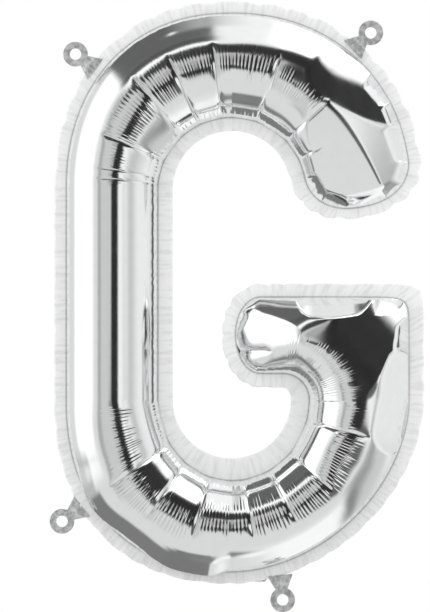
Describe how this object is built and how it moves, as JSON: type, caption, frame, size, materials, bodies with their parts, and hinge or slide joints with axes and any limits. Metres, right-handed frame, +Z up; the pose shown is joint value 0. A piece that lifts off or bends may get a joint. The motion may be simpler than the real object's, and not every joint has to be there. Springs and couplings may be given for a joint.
{
  "type": "letter foil balloon",
  "caption": "Blown-up mirror-foil letter balloon: front and back films welded round a flat scalloped margin, with hanging tabs that fold at their necks.",
  "frame": {"origin": "middle of the ribbon line between the holes of the two top tabs", "axes": "+X to the right as the letter is read from the front, +Z up the letter, the front film faces -Y"},
  "size_m": [0.2387, 0.0596, 0.3899],
  "materials": {
    "mirror_foil": "mirror-bright silver metallised film, stretched smooth with fine gathers",
    "welded_foil": "flat heat-welded silver film, satin and slightly wavy"
  },
  "bodies": {
    "envelope": {"front_film": "mirror_foil", "back_film": "mirror_foil", "seam_margin": "welded_foil", "filling_mouth_lip": "welded_foil"},
    "top_left_tab": {"tab_top_left": "welded_foil"},
    "top_right_tab": {"tab_top_right": "welded_foil"},
    "bottom_left_tab": {"tab_bottom_left": "welded_foil"},
    "bottom_middle_tab": {"tab_bottom_middle": "welded_foil"}
  },
  "joints": [
    {"name": "top_left_fold", "type": "hinge", "parent": "envelope", "child": "top_left_tab", "pos_m": [-0.08653, 0, -0.01258], "axis": [-0.6018, 0, -0.7986], "range_deg": [-90, 90], "stiffness_Nm_per_rad": 0.00002},
    {"name": "top_right_fold", "type": "hinge", "parent": "envelope", "child": "top_right_tab", "pos_m": [0.08791, 0, 0.00093], "axis": [-0.682, 0, 0.7314], "range_deg": [-90, 90], "stiffness_Nm_per_rad": 0.00002},
    {"name": "bottom_left_fold", "type": "hinge", "parent": "envelope", "child": "bottom_left_tab", "pos_m": [-0.09465, 0, -0.29876], "axis": [0.6018, 0, -0.7986], "range_deg": [-90, 90], "stiffness_Nm_per_rad": 0.00002},
    {"name": "bottom_middle_fold", "type": "hinge", "parent": "envelope", "child": "bottom_middle_tab", "pos_m": [0.03693, 0, -0.34486], "axis": [0.9945, 0, 0.1045], "range_deg": [-90, 90], "stiffness_Nm_per_rad": 0.00002}
  ]
}
